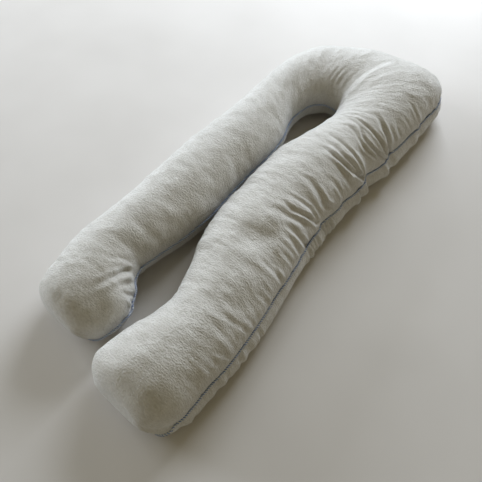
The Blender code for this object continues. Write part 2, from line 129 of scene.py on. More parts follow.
# Creases of the upper panel. depth and half_width are in metres, skew is from -1 to 1 and makes the side on
# the left or on the right of the path the steeper one, and fade_in is the share of the path in which it sets
# in. Then comes the path in the photograph's pixels, from the seam inwards, x and y by turns.
Crease = namedtuple("Crease", ("depth", "half_width", "skew", "fade_in", "pixels"))
CREASES = tuple(Crease(*row[:4], tuple(zip(row[4::2], row[5::2]))) for row in (
    (0.026, 0.022, 0.7, 0.2, 337, 111, 339, 101, 344, 91, 352, 82, 362, 73, 374, 66, 391, 60),
    (0.004, 0.0045, -0.3, 0.2, 333, 101, 331, 92, 333, 83, 337, 77, 342, 71, 349, 65),
    (0.005, 0.005, -0.3, 0.2, 336, 101, 337, 92, 339, 84, 343, 77, 350, 70, 359, 64),
    (0.004, 0.0045, -0.3, 0.2, 329, 98, 327, 89, 329, 80, 334, 73, 341, 67),
    (0.004, 0.005, 0, 0.3, 340, 99, 343, 88, 349, 79, 357, 72, 366, 66),
    (0.003, 0.004, 0, 0.5, 298, 97, 297, 88, 296, 80, 297, 74),
    (0.003, 0.004, 0, 0.5, 304, 96, 303, 88, 302, 79, 303, 73),
    (0.003, 0.004, 0, 0.5, 311, 94, 310, 86, 309, 79, 309, 72),
    (0.003, 0.004, 0, 0.5, 321, 93, 320, 86, 322, 79, 325, 72),
    (0.006, 0.018, 0, 0.5, 296, 100, 294, 88, 298, 80, 303, 72),
    (0.006, 0.005, 0, 0, 419, 127, 417, 118, 414, 110, 411, 104),
    (0.003, 0.005, 0, 0.2, 411, 131, 407, 123, 404, 116),
    (0.004, 0.005, 0, 0.3, 402, 141, 398, 131, 396, 124),
    (0.004, 0.005, 0, 0.3, 396, 146, 393, 135, 390, 126),
    (0.014, 0.007, 0.3, 0, 388, 155, 388, 145, 387, 137, 384, 128, 380, 120, 375, 113),
    (0.007, 0.005, 0.2, 0, 386, 158, 380, 142, 373, 132, 367, 126, 358, 120, 351, 117),
    (0.008, 0.005, 0.2, 0, 385, 160, 377, 153, 370, 145, 363, 136, 361, 128, 355, 122, 346, 118),
    (0.007, 0.005, 0.2, 0.1, 376, 158, 371, 153, 365, 147, 360, 138, 356, 132, 350, 127, 343, 124),
    (0.007, 0.006, 0.2, 0, 363, 177, 358, 172, 352, 163, 343, 155, 335, 147, 327, 142, 318, 139),
    (0.007, 0.005, 0.2, 0, 363, 174, 360, 163, 353, 153, 345, 145, 337, 139, 331, 136),
    (0.011, 0.006, 0.3, 0, 363, 178, 352, 170, 342, 161, 333, 154, 328, 150, 321, 146),
    (0.005, 0.007, 0, 0.2, 355, 190, 350, 182, 343, 172, 338, 165, 333, 158),
    (0.004, 0.006, 0, 0.2, 345, 198, 340, 190, 335, 181, 330, 175),
    (0.008, 0.008, 0.3, 0.1, 336, 209, 327, 205, 323, 198, 318, 190, 312, 182, 305, 178, 297, 175),
    (0.007, 0.0055, 0.2, 0, 320, 223, 316, 215, 312, 208, 303, 202, 295, 197, 286, 193),
    (0.008, 0.0055, 0.2, 0, 318, 224, 312, 218, 302, 213, 293, 208, 285, 202, 279, 199),
    (0.006, 0.007, 0.2, 0.2, 312, 228, 303, 222, 293, 217, 284, 212, 274, 206),
    (0.007, 0.007, 0.1, 0, 309, 248, 302, 238, 293, 229, 285, 223),
    (0.006, 0.007, 0.1, 0.1, 303, 256, 296, 245, 288, 235, 280, 228),
    (0.003, 0.006, 0, 0.1, 296, 268, 289, 258, 282, 250, 276, 245),
    (0.004, 0.006, 0, 0.1, 284, 284, 279, 276, 270, 266, 262, 259),
    (0.003, 0.005, 0, 0.1, 270, 305, 264, 298, 257, 293),
    (0.0015, 0.005, 0.2, 0, 251, 333, 242, 327, 236, 323, 228, 318, 218, 312),
    (0.0015, 0.005, 0, 0, 256, 327, 250, 321, 242, 315),
    (0.002, 0.005, 0, 0, 232, 358, 224, 356, 217, 352, 209, 350),
    (0.002, 0.005, 0, 0, 226, 365, 217, 363, 209, 360),
    (0.01, 0.007, 0.6, 0.1, 134, 270, 128, 270, 121, 272, 114, 275, 105, 279, 96, 282, 82, 287),
    (-0.004, 0.008, 0, 0.2, 132, 275, 120, 279, 105, 286, 90, 291),
    (0.005, 0.007, 0.2, 0.2, 131, 268, 124, 267, 117, 267, 108, 267),
    (0.004, 0.007, 0, 0.4, 134, 263, 127, 260, 120, 258, 110, 257),
    (0.004, 0.006, 0, 0, 134, 283, 128, 282, 118, 284),
    (0.005, 0.005, 0, 0, 133, 295, 128, 294, 121, 292),
    (0.006, 0.005, 0, 0, 131, 308, 125, 304, 118, 300),
    (0.005, 0.005, 0, 0, 126, 319, 121, 316, 117, 311),
    (0.004, 0.005, 0, 0, 117, 326, 115, 320, 111, 314),
    (0.006, 0.005, 0, 0, 109, 331, 109, 327, 110, 321),
    (0.005, 0.012, 0, 0.3, 97, 319, 101, 311, 105, 303),
))
# The valley's sharpness (2 is a soft bell). Beside it the cloth swells: how much, how many half-widths away,
# over how many, and how far round the section from a seam it swells in full.
CREASE_POWER = 1.4
SWELL = 0.50
SWELL_AT = 2.0
SWELL_WIDTH = 0.9
SWELL_STARTS = 0.60
# How much a skew widens one side, how a crease tapers off, how many half-widths away it is still felt, and
# how finely its path is read, in pixels.
SKEW_SHARE = 0.6
TAPER_POWER = 0.8
CREASE_REACH = 4
CREASE_STEP = 0.6

# The seams where they are gathered, in the photograph's pixels: the outer seam from the bend's corner down
# the +X arm, and the inner seam beside the -X arm's end. A gather draws them in sharply, and they ease out.
SEAM_TRACES = {"outer": (
    (428.3, 115.0), (420.0, 123.3), (418.3, 129.0), (415.0, 131.7), (408.3, 137.5), (401.7, 144.2),
    (395.0, 150.0), (388.5, 154.8), (387.2, 157.5), (386.3, 160.5), (383.3, 164.7), (376.7, 169.0),
    (371.7, 171.7), (366.7, 174.3), (364.0, 176.7), (364.6, 179.5), (364.6, 182.5), (362.5, 185.8),
    (356.7, 191.7), (348.3, 198.3), (341.7, 203.3), (339.0, 208.3), (333.3, 213.3), (325.0, 220.0),
    (320.0, 224.0), (318.7, 230.0), (315.0, 235.0), (310.0, 241.7), (305.0, 250.0), (300.8, 256.7),
), "inner": (
    (190.0, 233.0), (165.0, 250.5), (150.0, 261.0), (142.7, 266.4), (137.3, 273.6), (134.5, 279.5),
    (134.1, 283.6), (136.8, 290.0), (134.5, 297.3), (131.4, 303.6), (132.3, 308.2), (130.0, 312.7),
)}
TRACE_FADE = 0.030

# Soft pits where the filling is thin, in the photograph's pixels, with the depth and the radius in metres.
Pit = namedtuple("Pit", ("depth", "radius", "pixel"))
PITS = tuple(Pit(*row) for row in (
    (0.016, 0.042, (251, 234)),
    (0.010, 0.034, (268, 238)),
    (0.008, 0.022, (291, 213)),
    (0.005, 0.028, (278, 259)),
    (0.004, 0.030, (241, 258)),
    (0.004, 0.030, (252, 300)),
    (0.003, 0.026, (182, 349)),
    (0.004, 0.026, (138, 222)),
    (0.003, 0.030, (208, 300)),
    (0.003, 0.028, (65, 280)),
    (0.010, 0.050, (84, 287)),
    (0.005, 0.040, (99, 304)),
    (0.003, 0.030, (178, 197)),
))


def by_side(kind, outer, inner):
    """A table for each side of the pillow, with its columns named by kind."""
    return {"outer": [kind(*row) for row in outer], "inner": [kind(*row) for row in inner]}


# Folds of the lower panel, which the seam draws in: along is the distance from the +X arm's end on the middle
# line, reach is the angle round the section where it ends.
Fold = namedtuple("Fold", ("along", "depth", "half_width", "reach"))
LOWER_FOLDS = by_side(Fold, outer=(
    (0.628, 0.004, 0.006, 80),
    (0.648, 0.009, 0.005, 85),
    (0.660, 0.009, 0.005, 85),
    (0.673, 0.008, 0.005, 80),
    (0.716, 0.009, 0.005, 80),
    (0.729, 0.010, 0.005, 85),
    (0.744, 0.008, 0.005, 80),
    (0.896, 0.013, 0.009, 85),
    (0.913, 0.006, 0.006, 80),
    (1.030, 0.009, 0.009, 80),
    (1.046, 0.006, 0.007, 80),
    (1.157, 0.007, 0.010, 75),
    (0.350, 0.003, 0.006, 70),
    (0.300, 0.003, 0.010, 70),
    (0.265, 0.003, 0.007, 70),
    (0.215, 0.002, 0.007, 70),
    (0.180, 0.003, 0.010, 70),
    (0.095, 0.0015, 0.008, 70),
    (0.060, 0.005, 0.010, 75),
    (1.330, 0.005, 0.012, 70),
    (1.620, 0.005, 0.010, 70),
    (1.760, 0.004, 0.012, 70),
    (2.050, 0.004, 0.010, 70),
    (2.520, 0.005, 0.010, 70),
), inner=(
    (2.480, 0.006, 0.010, 70),
))

# How far the lower panel is drawn in below the inner seam, at what angle from it and over how many radians,
# and the stretch of the pillow where it is.
UNDER_DEPTH = 0.013
UNDER_AT, UNDER_WIDTH = 0.8, 0.45
UNDER_STRETCH = (1.24, 2.52)
UNDER_FADE = 0.08

# Fine gathers of the upper panel beside a seam: from where to where along the pillow, how far apart, how deep
# and wide, how far up the section, and their seed.
Gathers = namedtuple("Gathers", ("first", "last", "spacing", "depth", "half_width", "reach", "seed"))
GATHERS = by_side(Gathers, outer=(
    (0.070, 0.480, 0.0130, 0.0011, 0.0042, 44, 21),
    (1.150, 1.420, 0.0150, 0.0020, 0.0045, 30, 22),
    (1.450, 2.560, 0.0400, 0.0016, 0.0100, 35, 23),
), inner=(
    (0.120, 1.150, 0.0400, 0.0014, 0.0090, 30, 24),
    (2.280, 2.560, 0.0200, 0.0018, 0.0060, 40, 25),
))
# How far one may lean along the pillow for a radian. Beside their row's values: how far they may be out of
# place, their mean depth and width, how much those and the reach vary, and how sharply they fade.
LEAN = 0.012
PLACE_VARIES = 0.35
MEAN_DEPTH, DEPTH_VARIES = 0.8, 0.5
MEAN_WIDTH, WIDTH_VARIES = 1.1, 0.3
REACH_VARIES = 0.4
GATHER_FADE = 1.5

# Soft unevenness: each layer's height, how long its waves are along the pillow and across it, and its seed.
Layer = namedtuple("Layer", ("height", "along", "across", "seed"))
LUMPS = tuple(Layer(*row) for row in (
    (0.0022, 0.120, 0.110, 11),
    (0.0013, 0.045, 0.075, 12),
    (0.0008, 0.020, 0.055, 13),
))
# How many of the noise's cells the shorter waves take, how many more it has than the cover needs, and how
# many of its standard deviations make up the height.
WAVE_CELLS = 6
SPARE_CELLS = 8
WAVE_SPREAD = 1.6

# The cloth simulation: the spare cloth beside each seam, as a share of the most, from one distance along the
# pillow to the next, the angle over which it is spread, and its least and most as shares of the cloth's size.
SPARE = (
    (0.00, 0.15, 0.20),
    (0.10, 0.20, 0.15),
    (0.40, 0.30, 0.10),
    (0.50, 0.70, 0.10),
    (0.60, 1.00, 0.10),
    (1.12, 1.00, 0.15),
    (1.20, 0.60, 0.40),
    (1.30, 0.35, 0.50),
    (1.45, 0.20, 0.40),
    (1.60, 0.15, 0.15),
    (2.40, 0.20, 0.20),
    (2.50, 0.25, 0.60),
    (2.64, 0.25, 0.60),
    (2.71, 0.20, 0.30),
)
SPARE_REACH = 50
LEAST_GROWTH, MOST_GROWTH = 0.004, 0.055
GATHERED = (0.44, 1.20)
PRESSURE = 4.0
FRAMES = 20
STIFFNESS = {"tension": 15, "compression": 15, "shear": 5, "bending": 0.15}
POINT_MASS = 0.15
# The farthest that the simulation may move a point, how much of its movement is kept from one distance along
# the pillow to the next, and the angle beside a seam in which the seam holds it back. Of its broad swelling,
# over the length and the angle below, most is taken back, so that the pillow keeps its size.
MOVE_CAP = 0.008
SHOWN = ((0.00, 0.5), (0.38, 0.5), (0.46, 1.0), (1.25, 1.0), (1.60, 0.4), (2.36, 0.3), (2.48, 0.5),
         (2.71, 0.5))
HELD_ANGLE = 0.30
TAKEN_BACK = 0.95
BROAD_LENGTH = 0.050
BROAD_ANGLE = 0.55
# How far the seam follows the cloth beside it, and the angle over which the panels follow the seam.
SEAM_PULL = 0.6
SEAM_FOLLOW = 0.55

# The overlocked edge: how far its core stands out from the seam and in from it, its thickness, and the
# thread's radius, stitch length and slant.
EDGE_OUT = 0.0044
EDGE_IN = 0.0014
EDGE_THICK = 0.0028
THREAD_RADIUS = 0.0010
STITCH_LENGTH = 0.0060
STITCH_SLANT = 0.0016
THREAD_SIDES = 5
TURN_POINTS = 10
EDGE_SIDES = 8
EDGE_STEP = 0.0025
THREAD_PROUD = 0.0003
# How the seam's line is found on the cover: from how far outside, and how often its places and its way out of
# the cloth are averaged with their neighbours. Over an end it drops by TUCK_DROP, within TUCK_LENGTH.
SEAM_SEARCH = 0.010
TUCK_SEARCH = 0.012
PLACE_SMOOTHING = 3
WAY_SMOOTHING = 12
TUCK_DROP = 0.054
TUCK_LENGTH = {("outer", "start"): 0.060, ("inner", "start"): 0.120, ("outer", "finish"): 0.120,
               ("inner", "finish"): 0.070}

# Colours of the cloth, by the tone at which each is full, and of its trimmed edge, the thread and the floor.
CLOTH = ((0.15, (0.48, 0.465, 0.42)), (0.5, (0.62, 0.602, 0.56)), (0.85, (0.76, 0.745, 0.71)))
SHEEN_TINT = (0.93, 0.97, 1.0, 1.0)
EDGE_DARK, EDGE_LIGHT = (0.62, 0.65, 0.68), (0.74, 0.76, 0.78)
THREAD_DARK, THREAD_LIGHT = (0.060, 0.120, 0.32), (0.13, 0.24, 0.52)
FLOOR_DARK, FLOOR_LIGHT = (0.64, 0.615, 0.585), (0.68, 0.655, 0.625)
# The velour's noises: where they are read, their scale, detail and stretch, and how much of each goes into
# the tone and into the relief, which is NAP_HEIGHT deep. The fourth is the nap's streaks across the arm.
Noise = namedtuple("Noise", ("place", "scale", "detail", "stretch", "tone", "relief"))
NAP = tuple(Noise(*row) for row in (
    ("Object", 6.0, 2.0, (1, 1, 1), 0.25, 0.0),
    ("Object", 42.0, 2.0, (1, 1, 1), 0.35, 0.8),
    ("Object", 230.0, 3.0, (1, 1, 1), 0.60, 1.3),
    ("UV", 1.0, 3.0, (80.0, 300.0, 1.0), 0.60, 1.0),
    ("Object", 1000.0, 2.0, (1, 1, 1), 0.45, 0.5),
))
NAP_HEIGHT = 0.0020
# The grain of the trimmed edge and of the thread.
Grain = namedtuple("Grain", ("scale", "detail", "height", "strength"))
EDGE_GRAIN = Grain(1400.0, 2.0, 0.0005, 0.5)
THREAD_GRAIN = Grain(3000.0, 1.0, 0.0002, 0.4)
FLOOR_SIZE = 14.0
FLOOR_DROP = 0.0005

# The studio's lights: azimuth and elevation in degrees, distance and size in metres, watts, and colour.
LIGHT_TARGET = (0.0, 0.0, 0.08)
LIGHTS = (
    ("window_left", -78, 10, 4.6, 2.6, 262.0, (0.83, 0.90, 1.0)),
    ("window_back", -165, 29, 3.2, 1.85, 132.0, (0.83, 0.90, 1.0)),
)
# The room's own light, from the horizon to where its direction has risen by ROOM_RISE.
ROOM_LOW, ROOM_HIGH = (0.42, 0.39, 0.345), (0.205, 0.179, 0.112)
ROOM_RISE = 0.30


def through_rows(rows, at):
    """A Catmull-Rom curve through the rows of a table, read at the row numbers in at."""
    rows = np.asarray(rows, float)
    padded = np.vstack([2 * rows[0] - rows[1], rows, 2 * rows[-1] - rows[-2]])
    first = np.clip(np.floor(at).astype(int), 0, len(rows) - 2)
    t = (at - first)[:, None]
    a, b, c, d = (padded[first + k] for k in range(4))
    square = 2 * a - 5 * b + 4 * c - d
    cube = 3 * b - a - 3 * c + d
    return b + 0.5 * ((c - a) * t + square * t**2 + cube * t**3)


def rounding(distance, radius, power):
    """0 at a rounded end and 1 from radius onwards, as a superellipse rises."""
    left = np.clip(1 - distance / radius, 0, 1)
    return (1 - left**power) ** (1 / power)


def bell(offset):
    return np.exp(-(offset**2))


def unit(vectors):
    return vectors / np.maximum(np.linalg.norm(vectors, axis=-1, keepdims=True), TINY**2)


def distances(points):
    """How far along a line each of its points lies."""
    return np.concatenate([[0], np.cumsum(np.linalg.norm(np.diff(points, axis=0), axis=1))])


def way_along(points):
    """Unit steps along a closed line."""
    return unit(np.roll(points, -1, axis=0) - np.roll(points, 1, axis=0))


def from_seams(angles):
    """Angles over a panel, as they are from each seam."""
    return {"outer": angles, "inner": math.pi - angles}


def from_nearer(angles):
    """Angles over a panel, as they are from the nearer seam."""
    return np.minimum(angles, angles[::-1])


class Stations:
    """The places along the pillow where the cover has a ring of points, with the rib at each of them."""

    def __init__(self):
        fine = np.linspace(0, len(RIBS) - 1, FINE_STEPS)
        rows = through_rows(RIBS, fine)
        middle = (rows[:, 0:2] + rows[:, 2:4]) / 2
        reached = distances(middle)
        self.total = reached[-1]
        self.along = self.places()
        rows = through_rows(RIBS, np.interp(self.along, reached, fine))
        column = dict(zip(RIB_COLUMNS, rows.T))
        self.seam = {side: np.stack([column[side + "_x"], column[side + "_y"]], axis=1) + PLAN_ORIGIN
                     for side in ("outer", "inner")}
        self.lower_side = {side: column[side + "_side"] for side in ("outer", "inner")}
        self.fill = column["fill"]
        self.from_end = {"start": self.along, "finish": self.total - self.along}
        self.grown = rounding(np.minimum(self.along, self.total - self.along), END_ROUND, END_POWER)
        for (side, end), radius in CORNER_RADIUS.items():
            self.draw_in(side, radius * (1 - rounding(self.from_end[end], radius, 2)))

    def places(self):
        """Distances along the middle line: close at the rounded ends and where there are folds."""
        turn = np.arange(END_STATIONS) * (math.pi / 2) / END_STATIONS
        near_end = END_ROUND * (1 - np.cos(turn))
        ends = (END_ROUND, *STRETCH_ENDS, self.total - END_ROUND)
        middle = [np.linspace(a, b, round((b - a) / step), endpoint=False)
                  for a, b, step in zip(ends, ends[1:], STRETCH_STEPS)]
        return np.concatenate([near_end, *middle, [self.total - END_ROUND], self.total - near_end[::-1]])

    def across(self):
        """Unit steps from the inner seam to the outer seam."""
        return unit(self.seam["outer"] - self.seam["inner"])

    def lengthwise(self):
        """Unit steps along the pillow, away from the +X arm's end."""
        across = self.across()
        return np.stack([-across[:, 1], across[:, 0]], axis=1)

    def draw_in(self, side, amount):
        towards = -1 if side == "outer" else 1
        self.seam[side] = self.seam[side] + towards * self.across() * amount[:, None]


def panel_angles(upper):
    """Angles over a panel, from the outer seam, 0, to the inner seam, half a turn.

    Each point of the lower panel reaches as far across as one in LOWER_SHARE of the upper panel's points.
    """
    equal = np.linspace(0, math.pi, UPPER_QUADS + 1)
    angles = equal - SEAM_CROWDING * np.sin(2 * equal)
    if upper:
        return angles
    reach = section(angles, UPPER_POWER)[0][::LOWER_SHARE]
    return np.arccos(np.clip(np.sign(reach) * np.abs(reach) ** (LOWER_POWER / 2), -1, 1))


def section(angles, power):
    """A panel's section: its reach from the middle, 1 to -1, and its rise over the seam, 0 to 1 to 0."""
    sine = np.clip(np.sin(angles), 0, 1)
    cosine = np.cos(angles)
    return np.sign(cosine) * np.abs(cosine) ** (2 / power), sine ** (2 / power)


def panel_points(stations, upper):
    """The smooth points of one panel: a row for each station, from the outer seam to the inner seam."""
    angles = panel_angles(upper)
    reach, rise = section(angles, UPPER_POWER if upper else LOWER_POWER)
    half = (stations.seam["outer"] - stations.seam["inner"]) / 2
    centre = (stations.seam["outer"] + stations.seam["inner"]) / 2
    across = stations.across()
    if upper:
        side = np.full((len(stations.along), len(angles)), UPPER_SIDE)
    else:
        outer, inner = stations.lower_side["outer"][:, None], stations.lower_side["inner"][:, None]
        side = np.where(reach[None, :] > 0, outer, inner)
    side = side * (np.where(reach > 0, 1, -1) * np.sin(math.pi * rise))[None, :] * stations.grown[:, None]
    plan = centre[:, None, :] + reach[None, :, None] * half[:, None, :]
    plan += side[:, :, None] * across[:, None, :]
    if upper:
        height = SEAM_HEIGHT + (CROWN * stations.fill * stations.grown)[:, None] * rise[None, :]
        return np.dstack([plan, height])
    axis = stations.lengthwise()
    for end, towards in (("start", -1), ("finish", 1)):
        near = stations.from_end[end] < END_ROUND
        endwise = towards * END_SIDE[end] * np.where(near, np.sin(math.pi * stations.grown), 0)
        plan += endwise[:, None, None] * rise[None, :, None] * axis[:, None, :]
    deep = np.clip(stations.grown[:, None] * rise[None, :] * (1 + PRESSED), 0, 1)
    return np.dstack([plan, SEAM_HEIGHT * (1 - deep)])


def normals_of(stations, points, upper):
    """Outward normals of a panel's grid. On the seams they are level, and point away from the filling."""
    outwards = 1 if upper else -1
    normal = outwards * unit(np.cross(np.gradient(points, axis=0), np.gradient(points, axis=1)))
    across, axis = stations.across(), stations.lengthwise()
    for row, level in ((0, across), (-1, -across)):
        normal[:, row] = np.column_stack([level, np.zeros(len(level))])
    for row, level in ((0, -axis[0]), (-1, axis[-1])):
        inside = normal[row, 1:-1]
        inside[:] = (*level, 0)
        for corner in (0, -1):
            normal[row, corner] = unit(normal[row, corner] + np.array((*level, 0)))
    return normal


def direction(azimuth, elevation):
    """The unit vector at these degrees round the pillow and up from the surface it lies on."""
    azimuth, elevation = math.radians(azimuth), math.radians(elevation)
    return Vector((math.sin(azimuth) * math.cos(elevation), -math.cos(azimuth) * math.cos(elevation),
                   math.sin(elevation)))


def camera_axes():
    back = direction(AZIMUTH, ELEVATION)
    azimuth = math.radians(AZIMUTH)
    right = Vector((math.cos(azimuth), math.sin(azimuth), 0))
    return back, right, back.cross(right)


class Photograph:
    """Finds the place on the smooth cover that a pixel of the photograph shows."""

    def __init__(self, points):
        index = np.arange(points[:, :, 0].size).reshape(points.shape[:2])
        self.tree = BVHTree.FromPolygons(points.reshape(-1, 3).tolist(), quads(index, False).tolist())
        self.back, self.right, self.up = camera_axes()
        self.eye = Vector(TARGET) + self.back * DISTANCE
        self.focal = LENS / SENSOR * PHOTO_PIXELS

    def place(self, pixel):
        x, y = (pixel[0] - PHOTO_PIXELS / 2) / self.focal, (PHOTO_PIXELS / 2 - pixel[1]) / self.focal
        hit = self.tree.ray_cast(self.eye, self.right * x + self.up * y - self.back)
        return None if hit[0] is None else np.array((*hit[0], *hit[1]))

    def on_level(self, pixels, height):
        """The places at a given height that the pixels show, in plan."""
        pixels = np.asarray(pixels, float)
        x = (pixels[:, 0] - PHOTO_PIXELS / 2) / self.focal
        y = (PHOTO_PIXELS / 2 - pixels[:, 1]) / self.focal
        ray = np.outer(x, self.right) + np.outer(y, self.up) - np.array(self.back)
        reach = (height - self.eye.z) / ray[:, 2]
        return (np.array(self.eye) + ray * reach[:, None])[:, :2]

    def path(self, pixels):
        """Places and normals along a smooth line through pixels, those that miss the cover left out."""
        length = np.linalg.norm(np.diff(pixels, axis=0), axis=1).sum()
        at = np.linspace(0, len(pixels) - 1, max(4, round(length / CREASE_STEP)))
        found = [self.place(p) for p in through_rows(pixels, at)]
        return np.array([f for f in found if f is not None])


def crease_profile(offset):
    """A sharp valley with a rounded swelling on either side, 1 at its deepest."""
    beside = np.abs(offset)
    return np.exp(-(beside**CREASE_POWER)) - SWELL * bell((beside - SWELL_AT) / SWELL_WIDTH)


def crease_depth(points, normals, photograph):
    """How deep the traced creases press each point of the upper panel in."""
    flat, facing = points.reshape(-1, 3), normals.reshape(-1, 3)
    depth = np.zeros(len(flat))
    for crease in CREASES:
        path = photograph.path(crease.pixels)
        line, up = path[:, :3], path[:, 3:]
        tangent = unit(np.gradient(line, axis=0))
        left = np.cross(up, tangent)
        margin = crease.half_width * CREASE_REACH
        inside = (flat > line.min(axis=0) - margin) & (flat < line.max(axis=0) + margin)
        near = np.nonzero(np.all(inside, axis=1))[0]
        offset = flat[near][:, None, :] - line[None, :, :]
        distance = np.linalg.norm(offset, axis=2)
        nearest = distance.argmin(axis=1)
        rows = np.arange(len(near))
        side = np.sign(np.sum(offset[rows, nearest] * left[nearest], axis=1))
        along = nearest / (len(line) - 1)
        beyond = np.abs(np.sum(offset[rows, nearest] * tangent[nearest], axis=1))
        away = np.sqrt(np.maximum(distance[rows, nearest] ** 2 - beyond**2, 0)) * side
        ends = bell(beyond / crease.half_width)
        profile = crease_profile(away / (crease.half_width * (1 + crease.skew * side * SKEW_SHARE)))
        set_in = smooth(along / crease.fade_in) if crease.fade_in else 1
        taper = set_in * np.clip(1 - along, 0, 1) ** TAPER_POWER
        same_side = np.clip(np.sum(facing[near] * up[nearest], axis=1), 0, 1)
        depth[near] += crease.depth * profile * taper * ends * same_side
    return depth.reshape(points.shape[:2])


def pit_depth(points, photograph):
    depth = np.zeros(points.shape[:2])
    for pit in PITS:
        place = photograph.place(pit.pixel)[:3]
        depth += pit.depth * bell(np.linalg.norm(points - place, axis=2) / pit.radius)
    return depth


def waves(layer, along, across):
    """Smooth random waves over a grid, about -1 to 1, from noise blurred by its own wave lengths."""
    draw = np.random.default_rng(layer.seed)
    cell = min(layer.along, layer.across) / WAVE_CELLS
    count = (int(along.max() / cell) + SPARE_CELLS, int(np.ptp(across) / cell) + SPARE_CELLS)
    noise = np.fft.rfft2(draw.standard_normal(count))
    fx = np.fft.fftfreq(count[0], cell)[:, None]
    fy = np.fft.rfftfreq(count[1], cell)[None, :]
    field = np.fft.irfft2(noise * np.exp(-((fx * layer.along) ** 2) - (fy * layer.across) ** 2), s=count)
    field /= field.std() * WAVE_SPREAD
    x, y = along / cell, (across - across.min()) / cell
    x0, y0 = np.floor(x).astype(int), np.floor(y).astype(int)
    tx, ty = smooth(x - x0), smooth(y - y0)
    top = field[x0, y0] * (1 - ty) + field[x0, y0 + 1] * ty
    low = field[x0 + 1, y0] * (1 - ty) + field[x0 + 1, y0 + 1] * ty
    return layer.height * (top * (1 - tx) + low * tx)


def arc_grids(stations, points):
    """For each point its distance along the pillow and round the section from the middle of its panel."""
    steps = np.linalg.norm(np.diff(points, axis=1), axis=2)
    arc = np.concatenate([np.zeros((len(steps), 1)), np.cumsum(steps, axis=1)], axis=1)
    along = np.repeat(stations.along[:, None], points.shape[1], axis=1)
    return along, arc - arc[:, -1:] / 2


def lower_fold_depth(stations, angles):
    depth = np.zeros((len(stations.along), len(angles)))
    for side, from_seam in from_seams(angles).items():
        for fold in LOWER_FOLDS[side]:
            fade = np.clip(1 - (from_seam / math.radians(fold.reach)) ** 2, 0, 1) ** 2
            offset = (stations.along - fold.along) / fold.half_width
            depth += fold.depth * crease_profile(offset)[:, None] * fade[None, :]
    return depth


def tucked_under(stations, angles):
    """How far the lower panel is drawn in below the inner seam, round the bend and along the -X arm."""
    inside = np.minimum(stations.along - UNDER_STRETCH[0], UNDER_STRETCH[1] - stations.along)
    below_seam = bell((math.pi - angles - UNDER_AT) / UNDER_WIDTH)
    return UNDER_DEPTH * smooth(inside / UNDER_FADE)[:, None] * below_seam


def gather_depth(stations, angles, side):
    """Short fine gathers that run from a seam up the panel, at uneven distances."""
    from_seam = from_seams(angles)[side]
    depth = np.zeros((len(stations.along), len(angles)))
    for gathers in GATHERS[side]:
        draw = np.random.default_rng(gathers.seed)
        for along in np.arange(gathers.first, gathers.last, gathers.spacing):
            shift, deep, wide, far, lean = draw.uniform(-1, 1, 5)
            reach = math.radians(gathers.reach) * (1 + REACH_VARIES * far)
            width = gathers.half_width * (MEAN_WIDTH + WIDTH_VARIES * wide)
            offset = stations.along[:, None] - along - PLACE_VARIES * gathers.spacing * shift
            offset = (offset - LEAN * lean * from_seam[None, :]) / width
            fade = np.clip(1 - (from_seam / reach) ** 2, 0, 1) ** GATHER_FADE
            height = gathers.depth * (MEAN_DEPTH + DEPTH_VARIES * deep)
            depth += height * crease_profile(offset) * fade[None, :]
    return depth * stations.grown[:, None]


def crowding(stations, points):
    """How close the rings stand at points: 1 is their distance on the middle line."""
    spread = np.linalg.norm(np.gradient(points, stations.along, axis=0), axis=-1)
    return np.clip(spread, 0, 1)


def pressed_panel(stations, points, depth, upper):
    """A panel's points moved inwards along their normals, with the seams following only in part."""
    depth = depth * crowding(stations, points)
    depth[:, [0, -1]] *= SEAM_PULL
    depth[[0, -1]] *= SEAM_PULL
    return points - normals_of(stations, points, upper) * depth[:, :, None]


def traced_shift(stations, photograph, side):
    """How far towards the outer side a seam moves at each station, by its trace in the photograph."""
    plan = photograph.on_level(SEAM_TRACES[side], SEAM_HEIGHT)
    seam = stations.seam[side]
    nearest = np.linalg.norm(plan[:, None, :] - seam[None, :, :], axis=2).argmin(axis=1)
    outwards = np.sum((plan - seam[nearest]) * stations.across()[nearest], axis=1)
    along = stations.along[nearest]
    order = np.argsort(along)
    along, outwards = along[order], outwards[order]
    shift = np.interp(stations.along, along, outwards)
    inside = np.minimum(stations.along - along[0], along[-1] - stations.along)
    return shift, np.clip(1 + inside / TRACE_FADE, 0, 1)


